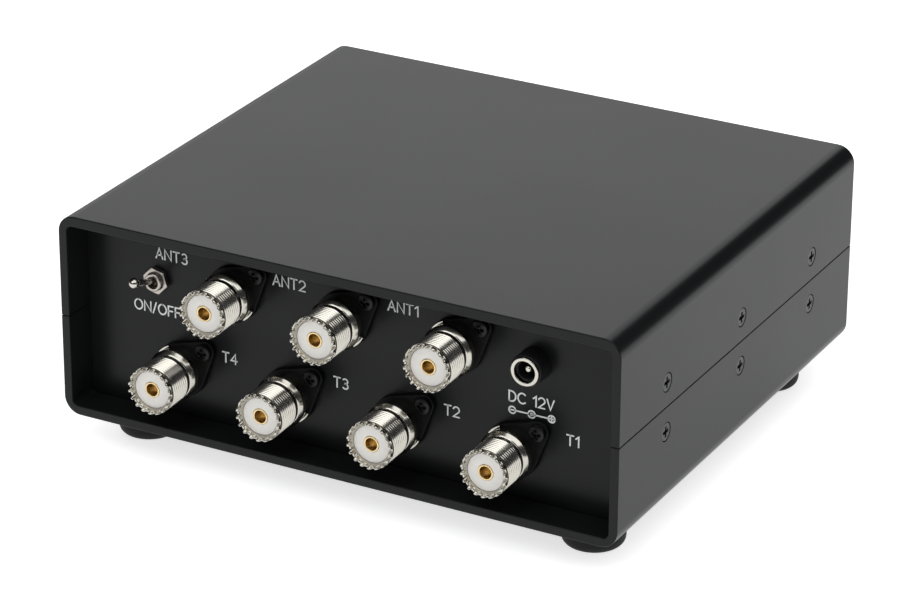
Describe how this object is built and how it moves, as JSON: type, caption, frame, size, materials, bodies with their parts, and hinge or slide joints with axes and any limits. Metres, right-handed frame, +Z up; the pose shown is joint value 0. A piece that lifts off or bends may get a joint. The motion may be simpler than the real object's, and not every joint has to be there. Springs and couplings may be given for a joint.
{
  "type": "antenna tuner",
  "caption": "Flat aluminium box on rubber feet with coaxial sockets, a DC inlet and a power toggle on one recessed panel and a display with push buttons on the other.",
  "frame": {"origin": "on the standing surface, under the middle of the whole object's box, socket tips included", "axes": "+X along the panels to the DC inlet's side, -Y out of the connector panel, +Z up"},
  "size_m": [0.2, 0.1838, 0.0812],
  "materials": {
    "case": "fine-blasted dark grey anodised",
    "rail": "plain extruded",
    "panel": "satin black anodised",
    "screw": "black oxide",
    "rubber": "moulded, matt",
    "nickel": "bright nickel plate",
    "insulator": "turned PTFE, white",
    "gold": "gold plate",
    "plastic": "moulded black",
    "window": "smoked acrylic",
    "board": "solder mask, green",
    "button": "moulded dark grey",
    "ferrite": "pressed iron powder",
    "relay": "moulded relay cover"
  },
  "bodies": {
    "case": {"antenna_socket_1_body": "nickel", "antenna_socket_1_contact": "gold", "antenna_socket_1_insulator": "insulator", "antenna_socket_2_body": "nickel", "antenna_socket_2_contact": "gold", "antenna_socket_2_insulator": "insulator", "antenna_socket_3_body": "nickel", "antenna_socket_3_contact": "gold", "antenna_socket_3_insulator": "insulator", "bottom_shell": "case", "connector_panel": "panel", "control_board": "board", "control_panel": "panel", "dc_jack_body": "plastic", "dc_jack_pin": "nickel", "dc_jack_sleeve": "nickel", "display_window": "window", "foot_front_left": "rubber", "foot_front_right": "rubber", "foot_rear_left": "rubber", "foot_rear_right": "rubber", "inductor_core_1": "ferrite", "inductor_core_2": "ferrite", "main_board": "board", "power_switch_body": "nickel", "power_switch_nut": "nickel", "relay_1": "relay", "relay_2": "relay", "relay_3": "relay", "side_rail_left": "rail", "side_rail_right": "rail", "side_screw_left_lower_front": "screw", "side_screw_left_lower_middle": "screw", "side_screw_left_lower_rear": "screw", "side_screw_left_upper_front": "screw", "side_screw_left_upper_middle": "screw", "side_screw_left_upper_rear": "screw", "side_screw_right_lower_front": "screw", "side_screw_right_lower_middle": "screw", "side_screw_right_lower_rear": "screw", "side_screw_right_upper_front": "screw", "side_screw_right_upper_middle": "screw", "side_screw_right_upper_rear": "screw", "top_shell": "case", "transceiver_socket_1_body": "nickel", "transceiver_socket_1_contact": "gold", "transceiver_socket_1_insulator": "insulator", "transceiver_socket_2_body": "nickel", "transceiver_socket_2_contact": "gold", "transceiver_socket_2_insulator": "insulator", "transceiver_socket_3_body": "nickel", "transceiver_socket_3_contact": "gold", "transceiver_socket_3_insulator": "insulator", "transceiver_socket_4_body": "nickel", "transceiver_socket_4_contact": "gold", "transceiver_socket_4_insulator": "insulator"},
    "power_lever": {"power_switch_lever": "nickel"},
    "tune_cap": {"tune_button": "button"},
    "antenna_cap": {"antenna_button": "button"},
    "transceiver_cap": {"transceiver_button": "button"}
  },
  "joints": [
    {"name": "power_toggle", "type": "hinge", "parent": "case", "child": "power_lever", "pos_m": [-0.0703, -0.07325, 0.0602], "axis": [1, 0, 0], "range_deg": [0, 37]},
    {"name": "tune_press", "type": "slide", "parent": "case", "child": "tune_cap", "axis": [0, -1, 0], "range_m": [0, 0.0012], "stiffness_N_per_m": 400, "springref_m": -0.001},
    {"name": "antenna_press", "type": "slide", "parent": "case", "child": "antenna_cap", "axis": [0, -1, 0], "range_m": [0, 0.0012], "stiffness_N_per_m": 400, "springref_m": -0.001},
    {"name": "transceiver_press", "type": "slide", "parent": "case", "child": "transceiver_cap", "axis": [0, -1, 0], "range_m": [0, 0.0012], "stiffness_N_per_m": 400, "springref_m": -0.001}
  ]
}
